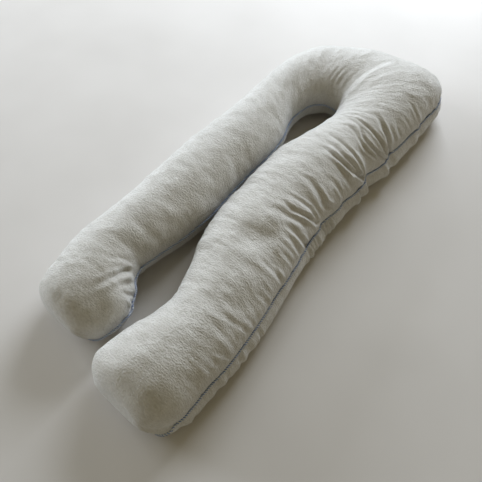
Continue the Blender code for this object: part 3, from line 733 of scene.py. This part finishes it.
def cover_panels(stations):
    """The upper and the lower panel, with the same points along the seam."""
    upper, lower = panel_points(stations, True), panel_points(stations, False)
    photograph = Photograph(upper)
    traces = {side: traced_shift(stations, photograph, side) for side in SEAM_TRACES}
    depth = crease_depth(upper, normals_of(stations, upper, True), photograph) + pit_depth(upper, photograph)
    along, across = arc_grids(stations, upper)
    for layer in LUMPS:
        depth -= waves(layer, along, across) * stations.grown[:, None]
    for side, column in (("outer", 0), ("inner", -1)):
        depth += gather_depth(stations, panel_angles(True), side)
        depth[:, column] *= 1 - traces[side][1]
    swelling = smooth(from_nearer(panel_angles(True)) / SWELL_STARTS)
    depth = np.where(depth < 0, depth * swelling[None, :], depth)
    upper = pressed_panel(stations, upper, depth, True)
    angles = panel_angles(False)
    under = lower_fold_depth(stations, angles) + tucked_under(stations, angles)
    under = np.where(lower[:, :, 2] < TINY, 0, under)
    under[:, [0, -1]] = 0
    under[[0, -1]] = 0
    lower = pressed_panel(stations, lower, under, False)
    for side, from_seam in from_seams(panel_angles(True)).items():
        shift, traced = traces[side]
        follow = (shift * traced)[:, None] * bell(from_seam / SEAM_FOLLOW)[None, :]
        upper[:, :, :2] += follow[:, :, None] * stations.across()[:, None, :]
    for row, from_seam in zip((0, -1), from_seams(angles).values()):
        moved = upper[:, row] - lower[:, row]
        lower = lower + moved[:, None, :] * bell(from_seam / SEAM_FOLLOW)[None, :, None]
    lower[:, :, 2] = np.maximum(lower[:, :, 2], 0)
    join_panels(upper, lower)
    return upper, lower


def join_panels(upper, lower):
    """Gives the lower panel the upper panel's points along the seam."""
    share = (upper.shape[1] - 1) // (lower.shape[1] - 1)
    lower[:, 0], lower[:, -1] = upper[:, 0], upper[:, -1]
    lower[0], lower[-1] = upper[0, ::share], upper[-1, ::share]


def shared_indices(upper, lower):
    """Vertex numbers for both panels' grids, with the seam's vertices shared, and the vertices' places."""
    rows, columns = upper.shape[:2]
    above = np.arange(rows * columns).reshape(rows, columns)
    below = np.zeros(lower.shape[:2], int)
    join_panels(above, below)
    inside = lower[1:-1, 1:-1].reshape(-1, 3)
    below[1:-1, 1:-1] = rows * columns + np.arange(len(inside)).reshape(rows - 2, -1)
    return above, below, np.concatenate([upper.reshape(-1, 3), inside])


def quads(index, flipped):
    """The grid's faces, a row of four vertex numbers for each."""
    corners = [index[:-1, :-1], index[1:, :-1], index[1:, 1:], index[:-1, 1:]]
    return np.stack(corners[::-1] if flipped else corners, axis=2).reshape(-1, 4)


def reading(coarse, fine):
    """A matrix that reads values given at coarse at fine, on straight lines between them."""
    upto = np.clip(np.searchsorted(coarse, fine, side="right"), 1, len(coarse) - 1)
    share = (fine - coarse[upto - 1]) / (coarse[upto] - coarse[upto - 1])
    matrix = np.zeros((len(fine), len(coarse)))
    matrix[np.arange(len(fine)), upto - 1] = 1 - share
    matrix[np.arange(len(fine)), upto] = share
    return matrix


def averaging(places, width):
    """A matrix that replaces each value by the average of those near it."""
    matrix = bell((places[:, None] - places[None, :]) / width) * np.gradient(places)[None, :]
    return matrix / matrix.sum(axis=1, keepdims=True)


def applied(over_rows, field, over_columns):
    """A grid of vectors after one matrix along the pillow and another round the section."""
    return np.einsum("ij,jkc,lk->ilc", over_rows, field, over_columns, optimize=True)


def spare_cloth(along, angles):
    """The share of the most spare cloth at each point of a panel."""
    table = np.array(SPARE)
    share = np.zeros((len(along), len(angles)))
    for column, from_seam in zip((1, 2), from_seams(angles).values()):
        beside = bell(from_seam / math.radians(SPARE_REACH))
        share += np.interp(along, table[:, 0], table[:, column])[:, None] * beside[None, :]
    return np.clip(share, 0, 1)


def simulated(points, faces, spare, pinned):
    """Where a short cloth simulation with air pressure inside moves the points."""
    cage = linked_mesh("cage", points, faces)
    mesh = cage.data
    held, grown = cage.vertex_groups.new(name="held"), cage.vertex_groups.new(name="grown")
    held.add(np.nonzero(pinned)[0].tolist(), 1.0, "REPLACE")
    for vertex, share in enumerate(spare.tolist()):
        grown.add([vertex], share, "REPLACE")
    cloth = cage.modifiers.new("cloth", "CLOTH")
    settings = cloth.settings
    for kind, value in STIFFNESS.items():
        setattr(settings, kind + "_stiffness", value)
    settings.mass = POINT_MASS
    settings.use_pressure = True
    settings.uniform_pressure_force = PRESSURE
    settings.vertex_group_mass = held.name
    settings.vertex_group_shrink = grown.name
    settings.shrink_min, settings.shrink_max = -LEAST_GROWTH, -MOST_GROWTH
    settings.effector_weights.gravity = 0
    cloth.collision_settings.use_collision = False
    scene = bpy.context.scene
    for frame_number in range(1, FRAMES + 1):
        scene.frame_set(frame_number)
    moved = np.empty(points.size)
    cage.evaluated_get(bpy.context.evaluated_depsgraph_get()).data.vertices.foreach_get("co", moved)
    bpy.data.objects.remove(cage)
    bpy.data.meshes.remove(mesh)
    scene.frame_set(1)
    return moved.reshape(-1, 3) - points


def settled(stations, upper, lower):
    """The panels after the simulation: rounder between their creases, and gathered beside the seams."""
    along = stations.along
    every = np.arange(len(along))
    rows = every[((along > GATHERED[0]) & (along < GATHERED[1])) | (every % 2 == 0) | (every == every[-1])]
    angles = {True: panel_angles(True)[::2], False: panel_angles(False)}
    coarse = {True: upper[rows][:, ::2], False: lower[rows]}
    above, below, points = shared_indices(coarse[True], coarse[False])
    spare = np.zeros(len(points))
    spare[above] = spare_cloth(along[rows], angles[True])
    spare[below[1:-1, 1:-1]] = spare_cloth(along[rows], angles[False])[1:-1, 1:-1]
    pinned = points[:, 2] < TINY
    pinned[np.concatenate([above[:, 0], above[:, -1], above[0], above[-1]])] = True
    moved = simulated(points, cover_faces(above, below), spare, pinned)
    length = np.linalg.norm(moved, axis=1, keepdims=True)
    moved *= MOVE_CAP / (MOVE_CAP + length)
    result = []
    for panel, index, of_upper in ((upper, above, True), (lower, below, False)):
        field = moved[index]
        round_section = angles[of_upper]
        field = field - TAKEN_BACK * applied(averaging(along[rows], BROAD_LENGTH), field,
                                             averaging(round_section, BROAD_ANGLE))
        free = smooth(from_nearer(round_section) / HELD_ANGLE)
        field *= (np.interp(along[rows], *zip(*SHOWN))[:, None] * free[None, :])[:, :, None]
        field[[0, -1]] = 0
        field = applied(reading(along[rows], along), field, reading(round_section, panel_angles(of_upper)))
        field[panel[:, :, 2] < TINY] = 0
        result.append(panel + field)
    result[1][:, :, 2] = np.maximum(result[1][:, :, 2], 0)
    join_panels(*result)
    return result


def cover_faces(above, below):
    """The faces of both panels. The lower panel's end rows also take in the upper panel's points there."""
    faces = quads(above, False).tolist()
    share = (above.shape[1] - 1) // (below.shape[1] - 1)
    strips = quads(below, True).reshape(below.shape[0] - 1, -1, 4).tolist()
    for j in range(below.shape[1] - 1):
        first, last = (above[row, j * share + 1:(j + 1) * share].tolist() for row in (0, -1))
        strips[0][j] += first
        strips[-1][j][2:2] = last[::-1]
    return faces + [face for strip in strips for face in strip]


def cover_mesh(stations, upper, lower):
    """One closed mesh of both panels, with the distances along and across the cloth as its UV map."""
    above, below, points = shared_indices(upper, lower)
    made = mesh_object("velour_pillow", points, cover_faces(above, below), velour())
    over, under = (np.dstack(arc_grids(stations, panel)[::-1]) for panel in (upper, lower))
    places = np.concatenate([over.reshape(-1, 2), under[1:-1, 1:-1].reshape(-1, 2)])
    corner = np.empty(len(made.data.loops), int)
    made.data.loops.foreach_get("vertex_index", corner)
    made.data.uv_layers.new(name="cloth").data.foreach_set("uv", places[corner].ravel())
    return made


def linked_mesh(name, points, faces):
    mesh = bpy.data.meshes.new(name)
    mesh.from_pydata(np.asarray(points).tolist(), [], faces)
    made = bpy.data.objects.new(name, mesh)
    bpy.context.scene.collection.objects.link(made)
    return made


def mesh_object(name, points, faces, of_material):
    made = linked_mesh(name, points, faces)
    made.data.shade_smooth()
    made.data.materials.append(of_material)
    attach(made, "root")
    return made


class SeamLine:
    """The seam's closed line on the finished cover. Over each end it runs low, tucked under the filling."""

    def __init__(self, stations, upper, cover):
        outer, inner = (np.maximum(*(1 - smooth(stations.from_end[end] / TUCK_LENGTH[side, end])
                                     for end in ("start", "finish"))) for side in ("outer", "inner"))
        self.plan = np.concatenate([upper[:-1, 0], upper[-1, :-1], upper[:0:-1, -1], upper[0, :0:-1]])[:, :2]
        over_end = np.ones(upper.shape[1] - 1)
        self.tuck = np.concatenate([outer[:-1], over_end, inner[:0:-1], over_end])
        mesh = cover.data
        self.tree = BVHTree.FromPolygons([v.co for v in mesh.vertices], [p.vertices for p in mesh.polygons])

    def read(self, step):
        """Places at even steps on the cover, the way along the line there, and the way out of the cloth."""
        closed = np.vstack([self.plan, self.plan[:1]])
        reached = distances(closed)
        count = round(reached[-1] / step)
        at = np.arange(count) * reached[-1] / count
        plan = np.stack([np.interp(at, reached, closed[:, k]) for k in range(2)], axis=1)
        tuck = np.interp(at, reached, np.append(self.tuck, self.tuck[0]))
        height = SEAM_HEIGHT - TUCK_DROP * tuck
        along = way_along(plan)
        level = even(np.stack([along[:, 1], -along[:, 0], np.zeros(count)], axis=1), WAY_SMOOTHING)
        points, away = [], []
        for place, z, out, low in zip(plan, height, level, tuck):
            start = Vector((*place, z)) + Vector(out) * (SEAM_SEARCH + TUCK_SEARCH * low)
            hit, normal, _, _ = self.tree.ray_cast(start, -Vector(out))
            points.append(hit if hit else (*place, z))
            away.append(normal if hit else out)
        points = even(np.array(points), PLACE_SMOOTHING)
        away = even(np.array(away), WAY_SMOOTHING)
        tangent = way_along(points)
        away = unit(away - tangent * np.sum(away * tangent, axis=1, keepdims=True))
        return points, tangent, away


def smooth(share):
    share = np.clip(share, 0, 1)
    return share * share * (3 - 2 * share)


def even(values, rounds):
    """Values round a closed line, each averaged with its neighbours a number of times."""
    for _ in range(rounds):
        values = (np.roll(values, 1, axis=0) + 2 * values + np.roll(values, -1, axis=0)) / 4
    return values


def closed_tube(name, points, of_material, around):
    """A mesh round a closed line: around holds, for each point, the ring of places about it."""
    count, sides = around.shape[:2]
    ring = np.arange(count * sides).reshape(count, sides)
    ahead = np.roll(ring, -1, axis=0)
    faces = np.stack([ring, ahead, np.roll(ahead, -1, axis=1), np.roll(ring, -1, axis=1)], axis=2)
    places = (points[:, None, :] + around).reshape(-1, 3)
    return mesh_object(name, places, faces.reshape(-1, 4).tolist(), of_material)


def edge_core(line):
    """The two panels' trimmed edges, sewn together: a flat rounded band that stands out of the seam."""
    points, tangent, away = line.read(EDGE_STEP)
    turn = np.arange(EDGE_SIDES) * 2 * math.pi / EDGE_SIDES
    out = (EDGE_OUT - EDGE_IN) / 2 + (EDGE_OUT + EDGE_IN) / 2 * np.cos(turn)
    rise = EDGE_THICK / 2 * np.sin(turn)
    across = np.cross(tangent, away)
    around = away[:, None, :] * out[None, :, None] + across[:, None, :] * rise[None, :, None]
    cloth = mottled("velour_edge", EDGE_DARK, EDGE_LIGHT, 300.0, 0.3, EDGE_GRAIN, Roughness=0.85,
                    Specular_IOR_Level=0.2)
    return closed_tube("overlocked_edge", points, cloth, around)


def edge_thread(line):
    """The blue thread that winds round the edge, one turn to a stitch."""
    points, tangent, away = line.read(STITCH_LENGTH / TURN_POINTS)
    turns = round(len(points) / TURN_POINTS)
    turn = (np.arange(len(points)) * turns * 2 * math.pi / len(points))[:, None]
    out = (EDGE_OUT - EDGE_IN) / 2 + ((EDGE_OUT + EDGE_IN) / 2 + THREAD_PROUD) * np.cos(turn)
    rise = (EDGE_THICK / 2 + THREAD_PROUD) * np.sin(turn)
    wound = points + away * out + np.cross(tangent, away) * rise + tangent * STITCH_SLANT * np.cos(turn)
    along = way_along(wound)
    first = unit(np.cross(along, tangent))
    second = np.cross(along, first)
    side = np.arange(THREAD_SIDES) * 2 * math.pi / THREAD_SIDES
    around = THREAD_RADIUS * (first[:, None, :] * np.cos(side)[None, :, None]
                              + second[:, None, :] * np.sin(side)[None, :, None])
    blue = mottled("overlock_blue", THREAD_DARK, THREAD_LIGHT, 700.0, 0.25, THREAD_GRAIN, Roughness=0.45,
                   Specular_IOR_Level=0.5, Sheen_Weight=0.4)
    return closed_tube("overlock_thread", wound, blue, around)


class Shader:
    """A material's node tree, with short calls for the nodes it is made of."""

    def __init__(self, name, **sockets):
        self.material = bpy.data.materials.new(name)
        self.material.use_nodes = True
        self.nodes, self.links = self.material.node_tree.nodes, self.material.node_tree.links
        self.surface = self.nodes["Principled BSDF"]
        for socket, value in sockets.items():
            self.surface.inputs[socket.replace("_", " ")].default_value = value
        self.coordinates = self.nodes.new("ShaderNodeTexCoord")

    def noise(self, place, scale, detail, stretch=(1, 1, 1)):
        mapping = self.nodes.new("ShaderNodeMapping")
        mapping.inputs["Scale"].default_value = stretch
        self.links.new(self.coordinates.outputs[place], mapping.inputs["Vector"])
        made = self.nodes.new("ShaderNodeTexNoise")
        made.inputs["Scale"].default_value = scale
        made.inputs["Detail"].default_value = detail
        self.links.new(mapping.outputs["Vector"], made.inputs["Vector"])
        return made.outputs["Fac"]

    def math(self, operation, first, second):
        made = self.nodes.new("ShaderNodeMath")
        made.operation = operation
        for socket, value in zip(made.inputs, (first, second)):
            if isinstance(value, (int, float)):
                socket.default_value = value
            else:
                self.links.new(value, socket)
        return made.outputs[0]

    def weighted(self, *terms):
        """The sum of each value's swing about a half, times its weight."""
        total = 0.5
        for value, weight in terms:
            total = self.math("ADD", total, self.math("MULTIPLY", self.math("SUBTRACT", value, 0.5), weight))
        return total

    def colours(self, value, *stops):
        ramp = self.nodes.new("ShaderNodeValToRGB")
        ramp.color_ramp.elements[0].position, ramp.color_ramp.elements[1].position = stops[0][0], stops[-1][0]
        for position, _ in stops[1:-1]:
            ramp.color_ramp.elements.new(position)
        for element, (_, colour) in zip(ramp.color_ramp.elements, stops):
            element.color = (*colour, 1)
        self.links.new(value, ramp.inputs["Fac"])
        self.links.new(ramp.outputs["Color"], self.surface.inputs["Base Color"])

    def bump(self, height, distance, strength):
        made = self.nodes.new("ShaderNodeBump")
        made.inputs["Distance"].default_value = distance
        made.inputs["Strength"].default_value = strength
        self.links.new(height, made.inputs["Height"])
        self.links.new(made.outputs["Normal"], self.surface.inputs["Normal"])


def velour():
    """Short upright pile: soft mottling, fine streaks where the nap was brushed, and a grain."""
    made = Shader("velour_plush", Roughness=0.88, Sheen_Weight=0.55, Sheen_Roughness=0.42,
                  Sheen_Tint=SHEEN_TINT, Specular_IOR_Level=0.18)
    noises = [made.noise(row.place, row.scale, row.detail, row.stretch) for row in NAP]
    made.colours(made.weighted(*((noise, row.tone) for noise, row in zip(noises, NAP))), *CLOTH)
    relief = made.weighted(*((noise, row.relief) for noise, row in zip(noises, NAP) if row.relief))
    made.bump(relief, NAP_HEIGHT, 1.0)
    return made.material


def mottled(name, dark, light, scale, spread, grain=None, **sockets):
    """A material that wanders between two colours."""
    made = Shader(name, **sockets)
    made.colours(made.noise("Object", scale, 2.0), (0.5 - spread, dark), (0.5 + spread, light))
    if grain:
        made.bump(made.noise("Object", grain.scale, grain.detail), grain.height, grain.strength)
    return made.material


def floor():
    reach = FLOOR_SIZE / 2
    corners = [(-reach, -reach, 0), (reach, -reach, 0), (reach, reach, 0), (-reach, reach, 0)]
    made = linked_mesh("floor", corners, [(0, 1, 2, 3)])
    made.location.z = -FLOOR_DROP
    made.data.materials.append(mottled("pale_floor", FLOOR_DARK, FLOOR_LIGHT, 3.0, 0.2, Roughness=0.9,
                                       Specular_IOR_Level=0.1))


def looking_at(target, back, distance, name, data):
    made = bpy.data.objects.new(name, data)
    made.location = Vector(target) + back * distance
    made.rotation_euler = back.to_track_quat("Z", "Y").to_euler()
    bpy.context.scene.collection.objects.link(made)
    return made


def area_light(name, azimuth, elevation, distance, size, power, colour):
    """A square light that looks at the pillow, and that the camera doesn't show."""
    light = bpy.data.lights.new(name, "AREA")
    light.size, light.energy, light.color = size, power, colour
    made = looking_at(LIGHT_TARGET, direction(azimuth, elevation), distance, name, light)
    made.visible_camera = False


def studio():
    floor()
    for row in LIGHTS:
        area_light(*row)
    world = bpy.data.worlds.new("studio")
    world.use_nodes = True
    nodes, links = world.node_tree.nodes, world.node_tree.links
    coordinates = nodes.new("ShaderNodeTexCoord")
    parts = nodes.new("ShaderNodeSeparateXYZ")
    ramp = nodes.new("ShaderNodeValToRGB")
    low, high = ramp.color_ramp.elements
    low.color, high.color = (*ROOM_LOW, 1), (*ROOM_HIGH, 1)
    high.position = ROOM_RISE
    links.new(coordinates.outputs["Generated"], parts.inputs[0])
    links.new(parts.outputs["Z"], ramp.inputs["Fac"])
    links.new(ramp.outputs["Color"], nodes["Background"].inputs["Color"])
    bpy.context.scene.world = world
    bpy.context.scene.view_settings.view_transform = "Standard"


def camera():
    lens = bpy.data.cameras.new("camera")
    lens.lens, lens.sensor_width = LENS, SENSOR
    bpy.context.scene.camera = looking_at(TARGET, camera_axes()[0], DISTANCE, "camera", lens)


camera()
studio()
stations = Stations()
upper, lower = cover_panels(stations)
upper, lower = settled(stations, upper, lower)
pillow = cover_mesh(stations, upper, lower)
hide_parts("filled_pillow")
line = SeamLine(stations, upper, pillow)
for piece in (edge_core(line), edge_thread(line)):
    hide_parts("overlocked_seam")
